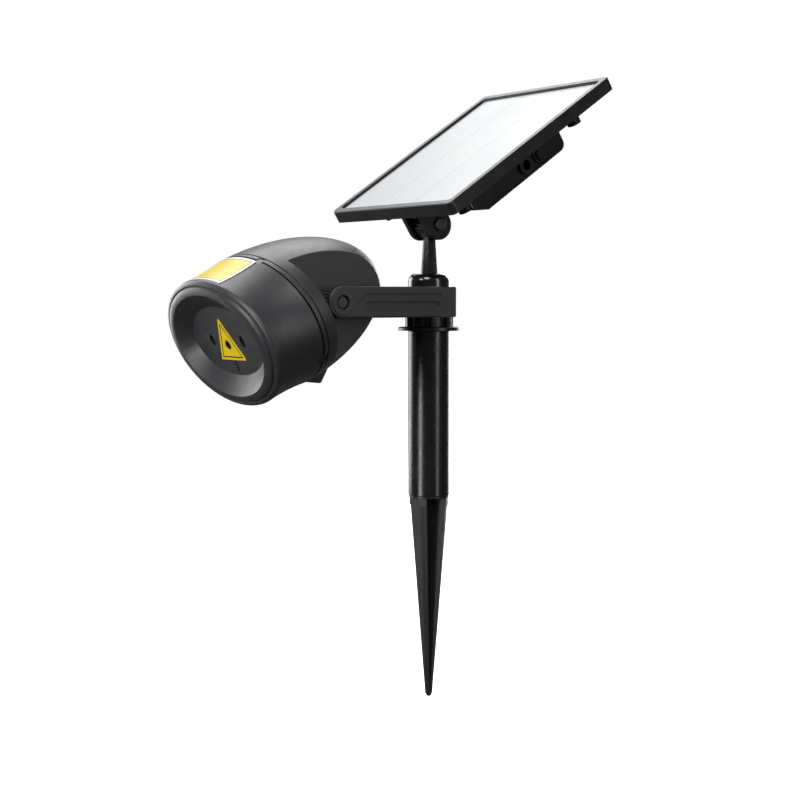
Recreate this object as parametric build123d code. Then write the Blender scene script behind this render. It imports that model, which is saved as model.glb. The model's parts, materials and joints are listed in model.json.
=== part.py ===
from build123d import *
import math
import os

# A garden light projector on a ground stake.  A spiked tube carries a U-shaped yoke with a barrel-shaped
# lamp head, and a mast above the yoke carries a tilting solar panel with a battery box underneath.
# Millimetres, +Z up.  The origin is on the stake axis at ground level, where the tube meets the spike.
# The lamp points towards -X and its tilt axis lies along Y.

# ---- clearances ----
snug = 0.05          # radial clearance of a fixed plug, spigot or screw
running = 0.05       # radial clearance of a shaft that turns in its bore
face_gap = 0.3       # gap between faces of bodies that move past each other
button_gap = 0.3     # gap all round a push button in its opening
far_away = 99.0      # a cutter's end well outside the object's parts

# ---- stake ----
tube_diameter = 29.0
tube_wall = 1.6
tube_length = 115.0
tube_chamfer = 0.5
spike_length = 143.5
spike_collar_diameter = 28.0
spike_collar_height = 1.6
spike_head_width = 26.8
spike_head_height = 5.6
spike_top_width = 25.4
spike_tip_width = 4.4
spike_rib_top = 5.0
spike_rib_tip = 2.6
spike_turn = 36.0
spigot_length = 25.0
spigot_wall = 2.4
bush_flange_diameter = 43.0
bush_flange_height = 2.5
bush_spigot_length = 22.0
bush_round = 0.6

# ---- swivel bolt through bush, collar and hub ----
swivel_bolt_diameter = 8.0
swivel_head_flats = 13.0
swivel_head_height = 5.3
swivel_nut_height = 4.4
swivel_washer_diameter = 16.0
swivel_washer_height = 1.2

# ---- swivel collar under the hub ----
collar_core_diameter = 27.0
collar_rib_diameter = 33.5
collar_height = 7.2
collar_bore_diameter = 14.0
collar_rib_count = 8
collar_rib_angle = 21.0

# ---- yoke ----
arm_height = 20.0
arm_thickness = 12.2
arm_pad_rise = 0.8
arm_pad_diameter = 16.2
arm_end_diameter = 20.0
arm_grip_count = 13
arm_grip_radius = 0.7
arm_grip_margin = 1.6
arm_shell = 2.6
arm_rib = 2.4
yoke_inner_width = 82.0
pivot_reach = 108.0
bar_thickness = 12.0
bar_setback = 17.8
hub_diameter = 33.0
hub_neck_width = 30.0
hub_spigot_diameter = 26.0
hub_spigot_height = 4.0
hub_well_diameter = 20.0
slot_height = 11.2
slot_depth = 0.8
slot_floor_height = 5.2
slot_floor_depth = 1.0
slot_floor_rise = 0.8
slot_end_margin = 7.0
slot_pad_margin = 4.0
yoke_round = 1.2

# ---- head pivot ----
pivot_bolt_diameter = 5.0
pivot_head_diameter = 6.8
pivot_head_height = 2.6
pivot_counterbore_diameter = 9.4
pivot_counterbore_depth = 3.6
pivot_washer_diameter = 18.0
pivot_washer_height = 1.0
pivot_nut_flats = 8.0
pivot_nut_height = 4.0

# ---- lamp head: stations along its own axis, measured forward of the pivot ----
head_tilt = 25.0
seam_station = 29.5
seam_groove = 1.4
band_groove_station = 25.7   # a fine groove behind the seam, so that a band stands between them
band_groove_width = 0.9
band_groove_depth = 0.7
rim_station = 61.5
front_station = 66.5
disc_station = 58.6
dome_centre_station = 28.5
dome_half_length = 85.2
dome_radius = 45.75      # half the height; the width is head_widening times that
head_widening = 1.44
seam_radius = 45.7
rim_radius = 44.2
waist_station = 50.0
waist_radius = 43.9
shoulder_radius = 41.4
shoulder_station = 64.4
shoulder_groove = 0.5
crest_radius = 38.6
crest_flat = 3.0
disc_half_height = 24.2
disc_half_width = 41.0
disc_thickness = 2.0
disc_ledge = 2.6
head_wall = 2.4
pocket_station = 17.5
pocket_half_width = 38.0
boss_diameter = 22.0
seal_depth = 0.9
seal_width = 7.0
seal_wall = 2.0
seal_gap = 0.6          # between the seal and the shells' inner skins
clip_angles = (22.5, 124.0, 236.0, 337.5)
clip_width = 6.0
clip_length = 6.4
clip_pocket = 1.0
clip_height = 0.6

# ---- front disc fittings ----
aperture_up = -2.4       # the aperture and its label sit a little below the middle
aperture_diameter = 3.4
aperture_ring_diameter = 5.6
aperture_ring_height = 0.6
label_thickness = 0.4
triangle_apex = 19.0
triangle_base = -10.8
triangle_half_width = 15.6
triangle_corner = 0.9
window_offset = 18.8
window_height = 10.0
window_width = 5.0
window_sink = 1.0
window_rise = 2.0
sensor_height = 8.0
sensor_width = 2.2
sensor_centre = -15.6
top_label_start = 31.0
top_label_end = 60.2
top_label_angle = 22.0

# ---- light source inside the head ----
lens_diameter = 14.0
lens_thickness = 2.0
laser_diameter = 16.0
laser_length = 22.0
sink_diameter = 26.0
sink_length = 14.0
sink_front_gap = 2.0
sink_fin_count = 6
sink_fin_thickness = 1.2
holder_thickness = 3.0
holder_leg_width = 9.0
board_diameter = 62.0
board_thickness = 1.6
board_standoff = 5.0
board_screw_circle = 52.0
board_screw_diameter = 3.0
board_screw_head_height = 1.8
board_chip_length = 16.0
board_chip_width = 16.0
board_chip_height = 3.0
board_chip_up = -4.0
board_coil_diameter = 10.0
board_coil_height = 6.0
board_coil_up = 12.0
board_coil_across = -10.0
holder_post_diameter = 6.4
sink_sleeve = 2.0
sink_fin_root = 0.5

# ---- switch pod and gland of the head ----
pod_front_station = 16.5
pod_rear_station = -5.0
pod_drop = 7.4
pod_half_width = 10.0
pod_nose = 3.5
pod_flat = 1.5
pod_button_station = 6.5
mode_button_diameter = 7.0
mode_button_proud = 1.6
mode_button_travel = 1.0
mode_button_inside = 2.0
mode_button_round = 0.6
gland_diameter = 11.0
gland_proud = 4.0
gland_bore = 5.0
gland_neck_wall = 1.5
gland_round = 1.2
gland_inside = 3.0
gland_across = 14.0
gland_up = -4.0

# ---- mast ----
cap_diameter = 29.4
cap_height = 9.0
cap_skirt = 3.6
cap_top_diameter = 20.0
cap_roof = 2.6
post_foot_diameter = 11.6
post_top_diameter = 8.3
post_stub_diameter = 7.0
knuckle_height = 188.0
knuckle_diameter = 18.0
knuckle_width = 10.0
knuckle_teeth = 24
knuckle_tooth_depth = 0.7
knuckle_plain_sine = -0.8   # no teeth where the post joins the knuckle
neck_overlap = 1.5

# ---- panel, in its own frame: x up the slope, z out of the glass, origin at the hinge ----
panel_tilt = 33.4
panel_length = 168.0
panel_width = 138.0
panel_thickness = 9.0
panel_corner = 4.0
hinge_from_edge = 24.0
hinge_below_glass = 28.6
rim_width = 6.0
rim_lip = 1.8
rim_wall = 2.6
rim_bevel = 1.2
frame_bevel = 0.6
frame_window_corner = 2.0
pocket_corner_least = 0.5
glass_thickness = 2.6
cell_board_thickness = 1.4
cell_thickness = 0.4
cell_columns = 3
cell_rows = 4
cell_gap = 1.6
cell_margin = 6.0
back_thickness = 1.8
back_inset = 0.8
back_boss_diameter = 10.0
back_boss_height = 6.0
back_boss_margin = 10.0
back_boss_low = 16.0
back_boss_high = 130.0
back_screw_diameter = 3.0
back_screw_head = 5.6
back_screw_head_height = 2.0
back_screw_room = 0.4
back_screw_seat = 3.0
screw_end_gap = 0.2       # between a screw's end and the cell board

# ---- battery box ----
box_start = 45.0
box_end = 128.0
box_ramp = 14.0
box_width = 90.0
cell_headroom = 1.4      # between the cells and the panel's back level
box_wall = 2.0
box_corner = 6.0
box_flange = 5.0
box_round = 3.0
box_lip = 2.0
ear_length = 9.0
ear_reach = 4.0
ear_height = 3.0
ear_round = 1.0
box_screw_head_height = 1.8
box_screw_margin = 10.0
box_screw_gap = 0.6
cell_diameter = 18.4
cell_length = 65.0
cell_spacing = 2.0
cell_float = 0.2
cell_shift = 6.0
cell_nub_diameter = 6.0
cell_nub_height = 1.2
holder_wall = 1.2
holder_height = 16.0
holder_gap = 0.3
holder_end_gap = 1.4
holder_end_overlap = 0.2
charge_board_length = 24.0
charge_board_width = 70.0
charge_board_thickness = 1.6
charge_board_gap = 2.0
charge_board_drop = 3.5
charge_chip = 8.0
charge_chip_margin = 4.0
charge_chip_across = -16.0
charge_chip_height = 1.6
socket_from_edge = 86.0
socket_below_back = 12.0
socket_diameter = 12.0
socket_bore = 7.0
socket_proud = 3.0
socket_step = 1.0
socket_inside = 3.0
button_from_edge = 102.0
power_button_diameter = 9.0
power_button_proud = 3.2
power_button_travel = 1.5
button_collar_width = 1.8
button_collar_proud = 1.4
power_button_inside = 3.0
power_button_round = 1.4

# ---- panel hinge ----
clevis_low = -20.0
clevis_box_gap = 0.5
clevis_width = 40.0
clevis_base = 3.0
clevis_corner = 3.0
clevis_screw_margin = 1.5
lug_thickness = 4.0
lug_diameter = 21.0
hinge_washer_diameter = 15.0
hinge_washer_height = 2.0
hinge_bolt_diameter = 5.0
hinge_head_diameter = 9.0
hinge_head_height = 3.0
hinge_head_round = 1.0
hinge_nut_flats = 9.0
hinge_nut_height = 4.2
clevis_screw_diameter = 3.0
clevis_screw_head = 5.6
clevis_screw_height = 1.8

# ---- heights that follow ----
tube_bore_radius = tube_diameter / 2 - tube_wall
flange_top = tube_length + bush_flange_height
collar_bottom = flange_top + face_gap
arm_bottom = collar_bottom + collar_height
arm_top = arm_bottom + arm_height
pivot_height = arm_bottom + arm_height / 2
cap_bottom = arm_top + face_gap
cap_top = cap_bottom + cap_height
washer_bottom = arm_top + face_gap
nut_bottom = washer_bottom + swivel_washer_height
bolt_top = nut_bottom + swivel_nut_height
arm_inner = yoke_inner_width / 2
arm_outer = arm_inner + arm_thickness
pad_outer = arm_outer + arm_pad_rise
boss_face = arm_inner - pivot_washer_height - face_gap
pocket_inner = pocket_half_width - head_wall
seat_station = disc_station - disc_thickness
laser_front = seat_station - lens_thickness
laser_rear = laser_front - laser_length
holder_station = laser_front - sink_front_gap - sink_length
panel_back_level = hinge_below_glass - panel_thickness
battery_pitch = cell_diameter + cell_spacing
box_depth = cell_diameter + cell_float + box_wall + cell_headroom
low_edge = -hinge_from_edge
high_edge = panel_length - hinge_from_edge
pocket_corner = max(panel_corner - rim_wall, pocket_corner_least)
lug_inner = knuckle_width / 2 + face_gap + hinge_washer_height
lug_outer = lug_inner + lug_thickness

# ---- frames of the two tilting assemblies ----
tilt_sine = math.sin(math.radians(head_tilt))
tilt_cosine = math.cos(math.radians(head_tilt))
head_frame = Plane(
    origin=(-pivot_reach, 0, pivot_height),
    x_dir=(-tilt_sine, 0, tilt_cosine),
    z_dir=(-tilt_cosine, 0, -tilt_sine),
).location
slope_sine = math.sin(math.radians(panel_tilt))
slope_cosine = math.cos(math.radians(panel_tilt))
panel_frame_place = Plane(
    origin=(0, 0, knuckle_height),
    x_dir=(slope_cosine, 0, slope_sine),
    z_dir=(-slope_sine, 0, slope_cosine),
).location


# ---- shape helpers ----
def rod(radius, low, high):
    return Pos(0, 0, (low + high) / 2) * Cylinder(radius, high - low)


def pipe(outer, inner, low, high, end_room=1):
    return rod(outer, low, high) - rod(inner, low - end_room, high + end_room)


def cross_rod(radius, near, far, x=0.0, z=0.0):
    return Pos(x, (near + far) / 2, z) * Rot(90, 0, 0) * Cylinder(radius, abs(far - near))


def block(x_low, x_high, y_low, y_high, z_low, z_high):
    centre = Pos((x_low + x_high) / 2, (y_low + y_high) / 2, (z_low + z_high) / 2)
    return centre * Box(x_high - x_low, y_high - y_low, z_high - z_low)


def hexagon(flats, low, high):
    face = RegularPolygon(flats / 2, 6, major_radius=False)
    return Pos(0, 0, low) * extrude(face, high - low)


def upright_edges(shape):
    return shape.edges().filter_by(Axis.Z)


def turned(edges):
    return revolve(make_face(Plane.XZ * edges), Axis.Z, 360)


# ---- stake ----
def ground_spike():
    plug_radius = tube_bore_radius - snug
    plug = pipe(plug_radius, plug_radius - spigot_wall, 0, spigot_length)
    collar = rod(spike_collar_diameter / 2, -spike_collar_height, 0)
    head_low = -spike_collar_height - spike_head_height
    spike = plug + collar
    for turn in (0, 90):
        head = block(
            -spike_head_width / 2, spike_head_width / 2,
            -spike_rib_top / 2, spike_rib_top / 2,
            head_low, -spike_collar_height,
        )
        top = Plane.XY.offset(head_low) * Rectangle(spike_top_width, spike_rib_top)
        bottom = Plane.XY.offset(-spike_length + spike_tip_width / 2) * Rectangle(spike_tip_width, spike_rib_tip)
        rib = loft([top, bottom])
        spike += Rot(0, 0, turn) * (head + rib)
    tip = Pos(0, 0, -spike_length + spike_tip_width / 2) * Sphere(spike_tip_width / 2)
    return Rot(0, 0, spike_turn) * (spike + tip)


def stake_tube():
    tube = pipe(tube_diameter / 2, tube_bore_radius, 0, tube_length)
    rims = tube.edges().filter_by(GeomType.CIRCLE).sort_by(SortBy.RADIUS)[-2:]
    return chamfer(rims, tube_chamfer)


def stake_bush():
    flange = rod(bush_flange_diameter / 2, tube_length, flange_top)
    spigot = rod(tube_bore_radius - snug, tube_length - bush_spigot_length, tube_length)
    bore = rod(swivel_bolt_diameter / 2 + snug, 0, flange_top + 1)
    return fillet((flange + spigot).edges().sort_by(Axis.Z)[-1], bush_round) - bore


def swivel_bolt():
    head_top = tube_length - bush_spigot_length
    head = hexagon(swivel_head_flats, head_top - swivel_head_height, head_top)
    return head + rod(swivel_bolt_diameter / 2, head_top, bolt_top)


def swivel_washer():
    inner = swivel_bolt_diameter / 2 + snug
    return pipe(swivel_washer_diameter / 2, inner, washer_bottom, nut_bottom)


def swivel_nut():
    nut = hexagon(swivel_head_flats, nut_bottom, bolt_top)
    return nut - rod(swivel_bolt_diameter / 2 + snug, nut_bottom - 1, bolt_top + 1)


# ---- bracket ----
def swivel_collar():
    core_radius = collar_core_diameter / 2
    collar = pipe(core_radius, collar_bore_diameter / 2, collar_bottom, arm_bottom)
    rib_radius = collar_rib_diameter / 2
    rib_width = 2 * rib_radius * math.sin(math.radians(collar_rib_angle / 2))
    ring = pipe(rib_radius, core_radius - 1, collar_bottom, arm_bottom)
    for index in range(collar_rib_count):
        turn = (index + 0.5) * 360 / collar_rib_count
        bar = block(0, rib_radius + 1, -rib_width / 2, rib_width / 2, collar_bottom, arm_bottom)
        collar += (Rot(0, 0, turn) * bar) & ring
    return collar


def yoke_arm():
    """The arm on the -Y side, with its rounded pivot end, raised pad, slot and hollow inner side."""
    bar_rear = -bar_setback
    arm = block(-pivot_reach, bar_rear, -arm_outer, -arm_inner, arm_bottom, arm_top)
    arm += cross_rod(arm_end_diameter / 2, -arm_outer, -arm_inner, -pivot_reach, pivot_height)
    arm = fillet(arm.edges().filter_by(Axis.X).group_by(Axis.Y)[0], yoke_round)
    arm += cross_rod(arm_pad_diameter / 2, -pad_outer, -arm_outer + 1, -pivot_reach, pivot_height)
    slot_left = -pivot_reach + arm_pad_diameter / 2 + slot_pad_margin
    slot_right = bar_rear - slot_end_margin
    slot_radius = slot_height / 2
    slot_face = -arm_outer
    slot = block(
        slot_left + slot_radius, slot_right - slot_radius,
        slot_face - 1, slot_face + slot_depth,
        pivot_height - slot_radius, pivot_height + slot_radius,
    )
    slot += cross_rod(slot_radius, slot_face - 1, slot_face + slot_depth, slot_right - slot_radius, pivot_height)
    point = Plane.XZ.offset(-(slot_face + slot_depth)) * make_face(Polyline(
        (slot_left - 1, pivot_height),
        (slot_left + slot_radius, pivot_height + slot_radius),
        (slot_left + slot_radius, pivot_height - slot_radius),
        close=True,
    ))
    slot += extrude(point, slot_depth + 1)
    floor_low = pivot_height - slot_radius + slot_floor_rise
    floor_radius = slot_floor_height / 2
    floor_face = slot_face + slot_depth + slot_floor_depth
    groove_ends = (slot_left + slot_radius + floor_radius, slot_right - slot_radius - floor_radius)
    groove = block(*groove_ends, slot_face, floor_face, floor_low, floor_low + slot_floor_height)
    for end in groove_ends:
        groove += cross_rod(floor_radius, slot_face, floor_face, end, floor_low + floor_radius)
    hollow_left = -pivot_reach + arm_end_diameter / 2 + arm_rib
    hollow_right = bar_rear - bar_thickness
    hollow_face = -arm_outer + slot_depth + slot_floor_depth + arm_shell
    hollow = block(
        hollow_left, hollow_right,
        hollow_face, -arm_inner + 1,
        arm_bottom + arm_shell, arm_top - arm_shell,
    )
    shank = cross_rod(pivot_bolt_diameter / 2 + snug, -pad_outer - 1, -arm_inner + 1, -pivot_reach, pivot_height)
    counterbore = cross_rod(
        pivot_counterbore_diameter / 2, -pad_outer - 1, -pad_outer + pivot_counterbore_depth,
        -pivot_reach, pivot_height,
    )
    arm = arm - slot - groove - hollow - shank - counterbore
    for index in range(arm_grip_count):
        turn = math.pi * (index + 0.5) / arm_grip_count + math.pi / 2
        arm -= cross_rod(
            arm_grip_radius, -arm_outer + arm_grip_margin, -arm_inner - arm_grip_margin,
            -pivot_reach + arm_end_diameter / 2 * math.cos(turn),
            pivot_height + arm_end_diameter / 2 * math.sin(turn),
        )
    return arm


def yoke():
    bar_rear = -bar_setback
    bar = block(bar_rear - bar_thickness, bar_rear, -arm_outer, arm_outer, arm_bottom, arm_top)
    bar = fillet(upright_edges(bar).group_by(Axis.X)[-1], yoke_round)
    arm = yoke_arm()
    body = bar + arm + mirror(arm, Plane.XZ)
    body += block(bar_rear - 1, 0, -hub_neck_width / 2, hub_neck_width / 2, arm_bottom, arm_top)
    body += rod(hub_diameter / 2, arm_bottom, arm_top)
    spigot_top = arm_top + hub_spigot_height
    body += pipe(hub_spigot_diameter / 2, hub_well_diameter / 2, arm_top, spigot_top)
    return body - rod(swivel_bolt_diameter / 2 + running, arm_bottom - 1, arm_top + 1)


def pivot_bolt():
    head_face = -pad_outer + pivot_counterbore_depth
    head = cross_rod(
        pivot_head_diameter / 2, head_face - pivot_head_height, head_face, -pivot_reach, pivot_height
    )
    tail = -pocket_inner + face_gap + pivot_nut_height
    return head + cross_rod(pivot_bolt_diameter / 2, head_face, tail, -pivot_reach, pivot_height)


def pivot_nut():
    near = -pocket_inner + face_gap
    nut = hexagon(pivot_nut_flats, 0, pivot_nut_height) - rod(pivot_bolt_diameter / 2 + snug, -1, far_away)
    return Pos(-pivot_reach, near, pivot_height) * Rot(-90, 0, 0) * nut


def pivot_washer():
    place = (-pivot_reach, pivot_height)
    near = -arm_inner
    far = near + pivot_washer_height
    washer = cross_rod(pivot_washer_diameter / 2, near, far, *place)
    return washer - cross_rod(pivot_bolt_diameter / 2 + snug, near - 1, far + 1, *place)


# ---- lamp head, drawn along +Z as forward and +X as up, and then set in its frame ----
def oval(shape):
    """Widens a round form to the head's oval section."""
    return scale(shape, by=(1, head_widening, 1))


def oval_plate(half_height, half_width, low, high):
    face = Plane.XY.offset(low) * Ellipse(half_height, half_width)
    return extrude(face, high - low)


def oval_funnel(low_size, low, high_size, high):
    """A straight-sided solid between two ovals at two stations."""
    return loft([Plane.XY.offset(low) * Ellipse(*low_size), Plane.XY.offset(high) * Ellipse(*high_size)], ruled=True)


def dome_outline_radius(station, shrink=0.0):
    reach = (dome_centre_station - station) / (dome_half_length - shrink)
    return (dome_radius - shrink) * math.sqrt(1 - reach ** 2)


def barrel_line(inset, rear):
    """The barrel's outline from the seam to the rim, set in by inset."""
    return Spline(
        (seam_radius - inset, rear), (waist_radius - inset, waist_station), (rim_radius - inset, rim_station)
    )


def dome_solid(shrink, front):
    """A solid of the dome's outline, cut square at its front station."""
    half_length = dome_half_length - shrink
    radius = dome_radius - shrink
    rear = dome_centre_station - half_length
    sweep = 90 - math.degrees(math.asin((dome_centre_station - front) / half_length))
    outline = EllipticalCenterArc((0, dome_centre_station), radius, half_length, -90, arc_size=sweep)
    edge_radius = outline.position_at(1).X
    edges = outline + Polyline((edge_radius, front), (0, front), (0, rear))
    return oval(turned(edges))


def side_blocks(half_width, front):
    depth = 2 * dome_radius
    side = block(-depth, depth, half_width, depth, -2 * dome_half_length, front)
    return side + mirror(side, Plane.XZ)


def rear_shell():
    front = seam_station - seam_groove / 2
    outer = dome_solid(0, front) - side_blocks(pocket_half_width, pocket_station)
    hollow = dome_solid(head_wall, front + 0.001) - side_blocks(pocket_inner, pocket_station + head_wall)
    boss = cross_rod(boss_diameter / 2, pocket_inner, boss_face)
    bore = cross_rod(pivot_bolt_diameter / 2 + running, -boss_face - 1, boss_face + 1)
    shell = outer - hollow + boss + mirror(boss, Plane.XZ) - bore
    groove_floor = dome_outline_radius(band_groove_station) - band_groove_depth
    groove_low = band_groove_station - band_groove_width / 2
    shell -= oval(pipe(dome_radius + 1, groove_floor, groove_low, groove_low + band_groove_width, end_room=0))
    for pocket in clip_blocks(2 * clip_pocket, snug):
        shell -= pocket
    return shell - switch_well() - gland_hole()


def switch_well():
    return Pos(0, 0, pod_button_station) * Rot(0, 90, 0) * rod(
        mode_button_diameter / 2 + button_gap, -2 * dome_radius, -dome_radius / 2
    )


def gland_hole():
    return Pos(gland_up, gland_across, 0) * rod(gland_diameter / 2 - gland_neck_wall, -2 * dome_half_length, 0)


def front_outside(rear):
    """The front shell's outside as a solid: barrel, rounded rim, fine groove and rounded front ring."""
    barrel = barrel_line(0, rear)
    rounding = EllipticalCenterArc(
        (shoulder_radius, rim_station), rim_radius - shoulder_radius, shoulder_station - rim_station, 0, arc_size=90
    )
    groove_end = (shoulder_radius - 2 * shoulder_groove, shoulder_station + shoulder_groove / 2)
    groove = Polyline(
        (shoulder_radius, shoulder_station),
        (shoulder_radius - shoulder_groove, shoulder_station - shoulder_groove),
        groove_end,
    )
    ring = EllipticalCenterArc(
        (crest_radius - crest_flat, groove_end[1]), groove_end[0] - crest_radius + crest_flat,
        front_station - groove_end[1], 0, arc_size=90,
    )
    rest = Polyline((crest_radius - crest_flat, front_station), (0, front_station), (0, rear), (seam_radius, rear))
    return oval(turned(barrel + rounding + groove + ring + rest))


def front_hollow(rear):
    line = barrel_line(head_wall, rear)
    cavity_end = rim_station + head_wall / 2
    rest = Polyline(
        (rim_radius - head_wall, rim_station),
        (shoulder_radius - head_wall, cavity_end),
        (0, cavity_end),
        (0, rear),
        (seam_radius - head_wall, rear),
    )
    return oval(turned(line + rest))


def front_shell():
    rear = seam_station + seam_groove / 2
    wall = head_wall
    mouth_height = crest_radius - crest_flat
    mouth_width = head_widening * mouth_height
    dish_wall = oval_funnel(
        (disc_half_height + wall, disc_half_width + wall), seat_station - wall,
        (mouth_height + 2 * wall, mouth_width + 2 * wall), front_station,
    )
    dish = oval_funnel((disc_half_height, disc_half_width), disc_station, (mouth_height, mouth_width), front_station)
    ledge_height = disc_half_height - disc_ledge
    ledge_width = disc_half_width - disc_ledge
    shell = front_outside(rear) - (front_hollow(rear) - dish_wall) - dish
    shell -= oval_plate(disc_half_height, disc_half_width, seat_station, disc_station)
    shell -= oval_plate(ledge_height, ledge_width, seat_station - wall, seat_station)
    for pocket in clip_blocks(2 * clip_pocket, snug):
        shell -= pocket
    return shell


def seal_ring():
    middle = seam_station
    inner_radius = seam_radius - head_wall - seal_gap - seal_wall
    lip = pipe(seam_radius - seal_depth - clip_pocket, inner_radius, middle - seam_groove / 2, middle + seam_groove / 2)
    body = pipe(inner_radius + seal_wall, inner_radius, middle - seal_width / 2, middle + seal_width / 2)
    return oval(lip + body)


def clip_blocks(height, grow):
    """Blocks that bridge the seam, standing square to the oval on the floors of the pockets in both shells."""
    half_width = clip_width / 2 + grow
    half_length = clip_length / 2 + grow
    tongue = block(
        -clip_pocket, height - clip_pocket, -half_width, half_width,
        seam_station - half_length, seam_station + half_length,
    )
    blocks = []
    for angle in clip_angles:
        up = math.cos(math.radians(angle))
        across = math.sin(math.radians(angle))
        facing = math.degrees(math.atan2(across / head_widening, up))
        foot = Pos(seam_radius * up, -head_widening * seam_radius * across, 0)
        blocks.append(foot * Rot(0, 0, -facing) * tongue)
    return blocks


def shell_clips():
    return clip_blocks(clip_height, 0)


def at_aperture(shape):
    return Pos(aperture_up, 0, 0) * shape


def front_disc():
    disc = oval_plate(disc_half_height - snug, disc_half_width - snug, seat_station, disc_station)
    disc -= at_aperture(rod(aperture_ring_diameter / 2 + snug, seat_station - 1, disc_station + 1))
    for window in window_shapes(snug):
        disc -= window
    return disc - sensor_shape(snug)


def window_shapes(grow):
    """Two upright lens-shaped windows, one each side of the aperture."""
    up = aperture_up + window_rise
    bow = (window_height ** 2 / 4 + window_width ** 2 / 4) / window_width + grow
    shift = bow - window_width / 2 - grow
    shapes = []
    for side in (-1, 1):
        first = Pos(up, side * window_offset - shift, 0) * rod(bow, seat_station, disc_station)
        second = Pos(up, side * window_offset + shift, 0) * rod(bow, seat_station, disc_station)
        shapes.append(first & second)
    return shapes


def sensor_shape(grow):
    return at_aperture(block(
        sensor_centre - sensor_height / 2 - grow, sensor_centre + sensor_height / 2 + grow,
        -sensor_width / 2 - grow, sensor_width / 2 + grow,
        seat_station, disc_station,
    ))


def indicator_windows():
    cover = rod(disc_half_width, disc_station - window_sink, disc_station + 1)
    return [window - cover for window in window_shapes(0)]


def aperture_ring():
    top = disc_station + aperture_ring_height
    return at_aperture(pipe(aperture_ring_diameter / 2, aperture_diameter / 2, seat_station, top))


def triangle_label():
    outline = Polyline(
        (triangle_apex, 0),
        (triangle_base, triangle_half_width),
        (triangle_base, -triangle_half_width),
        close=True,
    )
    sheet = extrude(Plane.XY.offset(disc_station) * make_face(outline), label_thickness)
    sheet = fillet(upright_edges(sheet), triangle_corner)
    return at_aperture(sheet - rod(aperture_ring_diameter / 2 + snug, disc_station - 1, disc_station + 2))


def top_label():
    rear = seam_station + seam_groove / 2
    under = barrel_line(0, rear)
    over = barrel_line(-label_thickness, rear)
    ends = Line(under.position_at(0), over.position_at(0)) + Line(under.position_at(1), over.position_at(1))
    band = make_face(Plane.XZ * (under + over + ends))
    strip = Rot(0, 0, -top_label_angle) * revolve(band, Axis.Z, 2 * top_label_angle)
    reach = 2 * dome_radius
    return oval(strip & block(0, reach, -reach, reach, top_label_start, top_label_end))


def grating_lens():
    return at_aperture(rod(lens_diameter / 2, laser_front, seat_station))


def laser_module():
    return at_aperture(rod(laser_diameter / 2, laser_rear, laser_front))


def heat_sink():
    front = laser_front - sink_front_gap
    rear = holder_station
    sleeve_radius = laser_diameter / 2 + sink_sleeve
    sink = pipe(sleeve_radius, laser_diameter / 2 + snug, rear, front)
    for index in range(sink_fin_count):
        fin = block(
            sleeve_radius - sink_fin_root, sink_diameter / 2,
            -sink_fin_thickness / 2, sink_fin_thickness / 2, rear, front,
        )
        sink += Rot(0, 0, index * 360 / sink_fin_count) * fin
    return at_aperture(sink)


def module_holder():
    rear = holder_station - holder_thickness
    rim = waist_radius - head_wall - seal_gap
    holder = at_aperture(rod(sink_diameter / 2, rear, holder_station))
    legs = []
    for index in range(3):
        leg = block(0, 2 * dome_radius, -holder_leg_width / 2, holder_leg_width / 2, rear, holder_station)
        legs.append(Rot(0, 0, 60 + index * 120) * leg)
    inside = oval(rod(rim, rear, holder_station))
    for leg in legs:
        holder += leg & inside
    for angle in board_screw_angles():
        post = Pos(board_screw_circle / 2, 0, 0) * rod(holder_post_diameter / 2, rear - board_standoff, rear)
        holder += Rot(0, 0, angle) * post
    for angle in board_screw_angles():
        pilot = Pos(board_screw_circle / 2, 0, 0) * rod(
            board_screw_diameter / 2 + snug, rear - board_standoff - 1, holder_station + 1
        )
        holder -= Rot(0, 0, angle) * pilot
    return holder - at_aperture(rod(laser_diameter / 2 + snug, rear - 1, holder_station + 1))


def board_screw_angles():
    return [60 + index * 120 for index in range(3)]


def driver_board():
    top = holder_station - holder_thickness - board_standoff
    board = rod(board_diameter / 2, top - board_thickness, top)
    for angle in board_screw_angles():
        hole = Pos(board_screw_circle / 2, 0, 0) * rod(board_screw_diameter / 2 + snug, 0, top + 1)
        board -= Rot(0, 0, angle) * hole
    under = top - board_thickness
    chip = block(
        board_chip_up - board_chip_length / 2, board_chip_up + board_chip_length / 2,
        -board_chip_width / 2, board_chip_width / 2,
        under - board_chip_height, under,
    )
    coil = Pos(board_coil_up, board_coil_across, 0) * rod(board_coil_diameter / 2, under - board_coil_height, under)
    return board + chip + coil


def board_screws():
    face = holder_station - holder_thickness - board_standoff - board_thickness
    screws = []
    for angle in board_screw_angles():
        screw = rod(board_screw_diameter, face - board_screw_head_height, face)
        screw += rod(board_screw_diameter / 2, face, holder_station)
        screws.append(Rot(0, 0, angle) * Pos(board_screw_circle / 2, 0, 0) * screw)
    return screws


def switch_pod():
    drop = dome_outline_radius(pod_front_station) + pod_drop
    rear_radius = dome_outline_radius(pod_rear_station) - head_wall / 2
    front_radius = dome_outline_radius(pod_front_station) - head_wall / 2
    outline = Polyline(
        (-front_radius, pod_front_station),
        (-drop, pod_front_station - pod_nose),
        (-drop, pod_front_station - pod_nose - pod_flat),
        (-rear_radius, pod_rear_station),
        close=True,
    )
    wedge = extrude(Plane.XZ.offset(-pod_half_width) * make_face(outline), 2 * pod_half_width)
    wedge = wedge - dome_solid(0, seam_station) - switch_well()
    return wedge


def pod_underside(station):
    """Depth of the pod's sloping underside below the head axis."""
    flat_end = pod_front_station - pod_nose - pod_flat
    drop = dome_outline_radius(pod_front_station) + pod_drop
    rear_radius = dome_outline_radius(pod_rear_station) - head_wall / 2
    share = (flat_end - station) / (flat_end - pod_rear_station)
    return drop + (rear_radius - drop) * max(0.0, share)


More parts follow.
